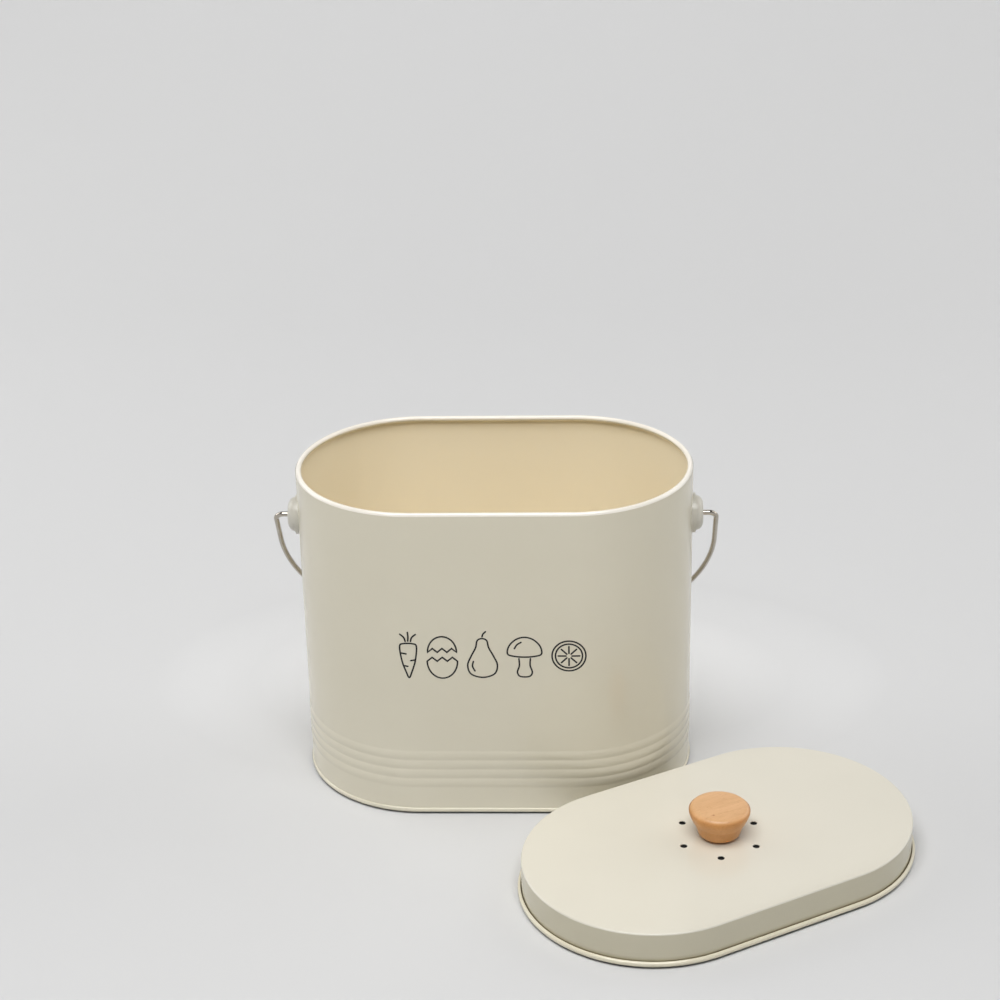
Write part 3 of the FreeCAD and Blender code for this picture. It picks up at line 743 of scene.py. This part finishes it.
def make_knob(material):
    """The turned knob: a flared cup, a step, a wider rounded top, a relieved foot and the insert's bore."""
    seat = KNOB_FOOT - KNOB_RELIEF_DEPTH
    profile = rounded([
        (KNOB_POLE, KNOB_BORE_DEPTH, 0),
        (KNOB_BORE, KNOB_BORE_DEPTH, KNOB_BORE_ROUND),
        (KNOB_BORE, 0, KNOB_MOUTH_ROUND),
        (seat, 0, KNOB_RELIEF_ROUND),
        (seat, KNOB_RELIEF, KNOB_RELIEF_ROUND),
        (KNOB_FOOT, KNOB_RELIEF, KNOB_FOOT_ROUND),
        (KNOB_CUP, KNOB_STEP_HEIGHT - KNOB_STEP_ROUND, KNOB_STEP_ROUND),
        (KNOB_STEP, KNOB_STEP_HEIGHT, KNOB_STEP_ROUND),
        (KNOB_TOP, KNOB_HEIGHT - KNOB_EDGE, KNOB_EDGE_ROUND),
        (KNOB_TOP, KNOB_HEIGHT, KNOB_TOP_ROUND),
        (KNOB_POLE, KNOB_HEIGHT, 0),
    ])
    bm = bmesh.new()
    rings = lathe(bm, profile, LID_FRAME @ Matrix.Translation((0, 0, LID_HEIGHT)), 96)
    bm.faces.new(rings[0])
    bm.faces.new(rings[-1])
    as_piece("turned_knob", bm, [material], "lid", ["knob"])


def make_pad(material):
    """The felted pad: an uneven ring with soft edges."""
    edge = PAD_OUTER - PAD_SOFT
    profile = arc((edge, PAD_BOTTOM + PAD_SOFT), PAD_SOFT, -90, 0, 5)
    profile += arc((edge, PAD_TOP - PAD_SOFT), PAD_SOFT, 0, 90, 5)
    rows = 12
    span = edge - PAD_INNER
    profile += [(edge - span * row / rows, PAD_TOP) for row in range(1, rows + 1)]
    profile += [(PAD_INNER + span * row / rows, PAD_BOTTOM) for row in range(rows)]
    bm = bmesh.new()
    lathe(bm, profile, LID_FRAME, 120, closed=True)
    middle = (PAD_TOP + PAD_BOTTOM) / 2
    for vert in bm.verts:
        sink = PAD_SINK * (1 + noise.noise(vert.co * PAD_LUMPS_PER_METRE))
        vert.co.z += sink if vert.co.z < middle else -sink
    pad = as_piece("felt_pad", bm, [material], "lid", ["charcoal_filter"])


def smooth(points, closed, steps=7):
    """A rounded line through points given in millimetres."""
    count = len(points)
    knots = [Vector(point) * MM for point in points]
    line = []
    for index in range(count if closed else count - 1):
        if closed:
            a, b, c, d = (knots[(index + shift) % count] for shift in (-1, 0, 1, 2))
        else:
            a, b, c, d = (knots[min(max(index + shift, 0), count - 1)] for shift in (-1, 0, 1, 2))
        for step in range(steps):
            at = step / steps
            line.append(0.5 * (2 * b + (c - a) * at + (2 * a - 5 * b + 4 * c - d) * at ** 2
                               + (3 * b - a - 3 * c + d) * at ** 3))
    if not closed:
        line.append(knots[-1])
    return line


def circle(radius, steps=40):
    return [Vector(point) * MM for point in arc((0, 0), radius, 0, 360 * (1 - 1 / steps), steps - 1)]


def on_front(along, up, out):
    """The place of a point that is wrapped round the front of the wall and stands out from it."""
    side = math.copysign(1, along)
    turn = max(abs(along) - HALF_STRAIGHT, 0) / END_RADIUS
    reach = END_RADIUS + out
    across = min(abs(along), HALF_STRAIGHT) + reach * math.sin(turn)
    return Vector((side * across, -reach * math.cos(turn), up))


def round_ends(line):
    """The line's points and half widths, with both ends rounded off."""
    half = INK_WIDTH / 2
    spans = [(point, half) for point in line]
    start = (line[0] - line[1]).normalized()
    end = (line[-1] - line[-2]).normalized()
    for share in (0.5, 0.85, 0.98):
        width = half * math.sqrt(1 - share * share)
        spans.insert(0, (line[0] + start * half * share, width))
        spans.append((line[-1] + end * half * share, width))
    return spans


def draw_stroke(bm, line, closed, shift):
    """A thin raised ribbon of ink along a line of (along, up) points."""
    spans = [(point, INK_WIDTH / 2) for point in line] if closed else round_ends(line)
    count = len(spans)
    rings = []
    for index, (point, half) in enumerate(spans):
        before = spans[index - 1][0] if closed or index else point
        after = spans[(index + 1) % count][0] if closed or index < count - 1 else point
        into = (point - before).normalized()
        away = (after - point).normalized()
        way = (into + away).normalized()
        across = Vector((-way.y, way.x))
        mitre = max(way.dot(into), way.dot(away), MITRE_LEAST)
        left = shift + point - across * half / mitre
        right = shift + point + across * half / mitre
        corners = [(left, -INK_SUNK), (left, INK_THICK), (right, INK_THICK), (right, -INK_SUNK)]
        rings.append([bm.verts.new(on_front(corner.x, corner.y, out)) for corner, out in corners])
    skin(bm, rings, closed)
    if not closed:
        bm.faces.new(rings[0])
        bm.faces.new(rings[-1])


def carrot():
    root = [(-5, 6.5), (-2.6, 8.4), (2.6, 8.4), (5, 6.5), (4, -3), (1.6, -11), (0, -14.5),
            (-1.6, -11), (-4, -3)]
    rings = [[(-4.3, 2), (-1.4, 1.5)], [(3.9, -2.5), (1.3, -3)], [(-2.8, -6.5), (-0.6, -6.9)]]
    fronds = [[(-1.6, 10), (-2.4, 12.6), (-4.6, 14.6)], [(0, 10.2), (0.2, 13), (0, 16)],
              [(1.6, 10), (2.4, 12.6), (4.6, 14.6)]]
    return [(smooth(root, True), True)] + [(smooth(line, False), False) for line in rings + fronds]


def eggshell():
    """Two halves of a broken shell with jagged edges."""
    jags = 6
    jag_rise = 2.6
    steps = 30
    halves = []
    for side, wide, tall, lift in ((-1, 9, 11.5, -3.4), (1, 8.6, 10.5, 2.6)):
        bowl = [(wide * math.cos(turn), lift + side * tall * math.sin(turn))
                for turn in [math.pi * step / steps for step in range(steps + 1)]]
        jagged = [(-wide + 2 * wide * jag / jags, lift + (jag_rise if jag % 2 else 0))
                  for jag in range(1, jags)]
        halves.append(([Vector(point) * MM for point in bowl + jagged], True))
    return halves


def pear():
    right = [(2.8, 10.4), (3.9, 5.6), (6.6, 0), (8.8, -6), (7, -12)]
    outline = [(0, 11.8)] + right + [(0, -14.4)] + [(-across, up) for across, up in right[::-1]]
    stem = [(0.1, 13), (0.7, 14.8), (2.2, 16.4)]
    shine = [(-5.4, -3.6), (-6, -6.8), (-4.6, -10)]
    return [(smooth(outline, True), True)] + [(smooth(line, False), False) for line in (stem, shine)]


def mushroom():
    cap = [(-10, 1.4), (-9.2, 6.6), (-5.2, 11), (0, 12.6), (5.2, 11), (9.2, 6.6), (10, 1.4),
           (6, -0.2), (0, -0.7), (-6, -0.2)]
    stalk = [(-3.4, -1.8), (-3.2, -6.4), (-4.4, -11), (-2.6, -13.8),
             (2.6, -13.8), (4.4, -11), (3.2, -6.4), (3.4, -1.8)]
    shine = [(-6, 5), (-4.4, 7.6), (-2, 9.2)]
    return [(smooth(cap, True), True), (smooth(stalk, False), False), (smooth(shine, False), False)]


def citrus_slice():
    spokes = 8
    lines = [(circle(10), True), (circle(8), True)]
    for spoke in range(spokes):
        way = Vector((math.cos(math.tau * spoke / spokes), math.sin(math.tau * spoke / spokes)))
        lines.append(([way * 1.8 * MM, way * 4 * MM, way * 6.3 * MM], False))
    return lines


def make_print(material):
    """A row of kitchen scraps in fine black line on the front, with equal gaps between them."""
    motifs = [carrot(), eggshell(), pear(), mushroom(), citrus_slice()]
    bm = bmesh.new()
    spans = []
    for motif in motifs:
        across = [point.x for line, _ in motif for point in line]
        spans.append((min(across), max(across)))
    at = -(sum(right - left for left, right in spans) + PRINT_GAP * (len(motifs) - 1)) / 2
    for motif, (left, right) in zip(motifs, spans):
        for line, closed in motif:
            draw_stroke(bm, line, closed, Vector((at - left, PRINT_HEIGHT)))
        at += right - left + PRINT_GAP
    as_piece("print", bm, [material], "bucket")


def wall_rise(across):
    """How high the stage has curved up at a distance from its middle."""
    return FAR_WALL_CURVE * max(abs(across) - FAR_WALL_START, 0) ** 2


def seen_rays(tree):
    """One for rays that show the stage, also in a shiny surface, and zero for rays that light the part."""
    path = node(tree, "LightPath")
    seen = path.outputs["Is Camera Ray"]
    for kind in ("Is Glossy Ray", "Is Transmission Ray"):
        either = node(tree, "Math", {"operation": "MAXIMUM"})
        feed(tree, either.inputs[0], seen)
        feed(tree, either.inputs[1], path.outputs[kind])
        seen = either.outputs["Value"]
    return seen


def stage_material():
    """Pale paper with painted light that makes it paler round the bucket where it is seen, lifting the
    bucket's shadow, and that fades to an even tone far off.
    """
    material, tree, shader, place = new_material("pale_sweep", Specular_IOR_Level=0.2, Roughness=0.7)
    shader.inputs["Emission Color"].default_value = (*FAR_PALE, 1)
    spot = stretched(tree, place, NEAR_STRETCH, move=NEAR_SHIFT)
    spot_distance = node(tree, "VectorMath", {"operation": "LENGTH"}, Vector=spot).outputs["Value"]
    near = spread(tree, spot_distance, 0, 1, *NEAR_FADE)
    # the painted light is palest near the bucket
    tone = ramp(tree, near, (0, *NEAR_PAINTED_LIGHT), (0.5, *MIDDLE_PAINTED_LIGHT), (1, *FAR_PALE))
    far = stretched(tree, place, (1, 1, 1), move=(0, -FAR_MIDDLE, 0))
    far_distance = node(tree, "VectorMath", {"operation": "LENGTH"}, Vector=far).outputs["Value"]
    away = spread(tree, far_distance, 0, 1, *FAR_FADE)
    seen = seen_rays(tree)
    glow = node(tree, "Math", {"operation": "MULTIPLY"})
    feed(tree, glow.inputs[0], away)
    feed(tree, glow.inputs[1], seen)
    feed(tree, shader.inputs["Emission Strength"], glow.outputs["Value"])
    tone = node(tree, "MixRGB", Fac=away, Color1=tone, Color2=(0, 0, 0, 1)).outputs["Color"]
    shade = node(tree, "MixRGB", Fac=seen, Color1=FLOOR_LIT, Color2=tone)
    feed(tree, shader.inputs["Base Color"], shade.outputs["Color"])
    return material


def make_stage():
    """A seamless pale floor that sweeps up into a backdrop, and into far walls on the other sides."""
    line = [(-far, wall_rise(far)) for far in FAR_STEPS[::-1]] + [(0, 0), (FLOOR_BACK, 0)]
    line += [(FLOOR_BACK + x, SWEEP_RADIUS + z) for x, z in arc((0, 0), SWEEP_RADIUS, -90, 0, 40)]
    line += [(FLOOR_BACK + SWEEP_RADIUS, BACKDROP_TOP)]
    columns = [-far for far in FAR_STEPS[::-1]] + [0] + FAR_STEPS
    bm = bmesh.new()
    rows = []
    for along, up in line:
        rows.append([bm.verts.new((across, along, up + wall_rise(across))) for across in columns])
    for low, high in zip(rows, rows[1:]):
        for index in range(len(columns) - 1):
            bm.faces.new((low[index], low[index + 1], high[index + 1], high[index]))
    mesh = bpy.data.meshes.new("sweep")
    bm.to_mesh(mesh)
    bm.free()
    for polygon in mesh.polygons:
        polygon.use_smooth = True
    mesh.materials.append(stage_material())
    floor = bpy.data.objects.new("sweep", mesh)
    bpy.context.scene.collection.objects.link(floor)


def add_softbox(name, place, aim, size, power):
    light = bpy.data.lights.new(name, "AREA")
    light.shape = "RECTANGLE"
    light.size, light.size_y = size
    light.energy = power
    lamp = bpy.data.objects.new(name, light)
    lamp.location = place
    lamp.rotation_euler = (Vector(aim) - Vector(place)).to_track_quat("-Z", "Y").to_euler()
    bpy.context.scene.collection.objects.link(lamp)


def light_scene():
    """A broad softbox high in front, one at each side, one on the backdrop, and a dim room."""
    for lamp in LAMPS:
        add_softbox(*lamp)
    world = bpy.data.worlds.new("room")
    world.use_nodes = True
    bpy.context.scene.world = world
    tree = world.node_tree
    way = node(tree, "TexCoord").outputs["Generated"]
    up = node(tree, "SeparateXYZ", Vector=way).outputs["Z"]
    room = ramp(tree, up, (0, 0.02, 0.02, 0.02), (0.3, 0.04, 0.04, 0.04), (1, 0.08, 0.08, 0.08))
    feed(tree, tree.nodes["Background"].inputs["Color"], room)
    tree.nodes["Background"].inputs["Strength"].default_value = 1.0


def add_camera():
    camera = bpy.data.cameras.new("photo_camera")
    camera.sensor_width = CAMERA_SENSOR
    camera.lens = CAMERA_LENS
    camera.clip_start = CAMERA_NEAREST
    holder = bpy.data.objects.new("photo_camera", camera)
    back = CAMERA_RIGHT.cross(-CAMERA_DOWN).normalized()
    turn = Matrix((CAMERA_RIGHT, -CAMERA_DOWN, back)).transposed()
    holder.matrix_world = Matrix.Translation(CAMERA_PLACE) @ turn.to_4x4()
    bpy.context.scene.collection.objects.link(holder)
    bpy.context.scene.camera = holder


def dress_node(name, material):
    """Gives a carried-over node its finish."""
    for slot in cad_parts[name].material_slots:
        slot.material = material


bpy.context.scene.view_settings.view_transform = "Standard"
wall_coat = enamel_material("wall_coat", *WALL_CREAM)
inside_lit_coat = enamel_material("inside_painted_light_coat", *INSIDE_PAINTED_LIGHT)
ear_coat = enamel_material("ear_coat", *EAR_CREAM, rough=0.3)
# painted shade: a near-black metal on the undersides of the base's lip and foot and of the lid's hem stands
# in for the dark contact line where they meet the floor
contact_painted_shade = metal_material("contact_painted_shade", (0.012, 0.011, 0.010), (0.025, 0.022, 0.020), 0.5, 200)
make_wall(wall_coat, inside_lit_coat, enamel_material("rim_painted_highlight", *RIM_PAINTED_HIGHLIGHT))
make_base(wall_coat, inside_lit_coat, contact_painted_shade)
make_ear(ear_coat, "left", -1)
make_ear(ear_coat, "right", 1)
make_bail(nickel_material())
lid_coat = enamel_material("lid_coat", *LID_CREAM)
skirt_painted_shade = enamel_material("skirt_painted_shade", *SKIRT_PAINTED_SHADE, fade=GROOVE_FADE)
make_lid(lid_coat, skirt_painted_shade, contact_painted_shade, enamel_material("hem_coat", *HEM_CREAM))
make_knob(beech_material())
make_pad(charcoal_material())
make_print(ink_material())
dress_node("knob_insert", metal_material("turned_brass", (0.55, 0.36, 0.12), (0.66, 0.46, 0.18), 0.25, 300))
zinc = metal_material("bright_zinc", (0.42, 0.43, 0.44), (0.56, 0.57, 0.58), 0.28, 250)
dress_node("knob_screw", zinc)
dress_node("knob_washer", zinc)
dress_node("filter_holder", plastic_material())
make_stage()
light_scene()
add_camera()
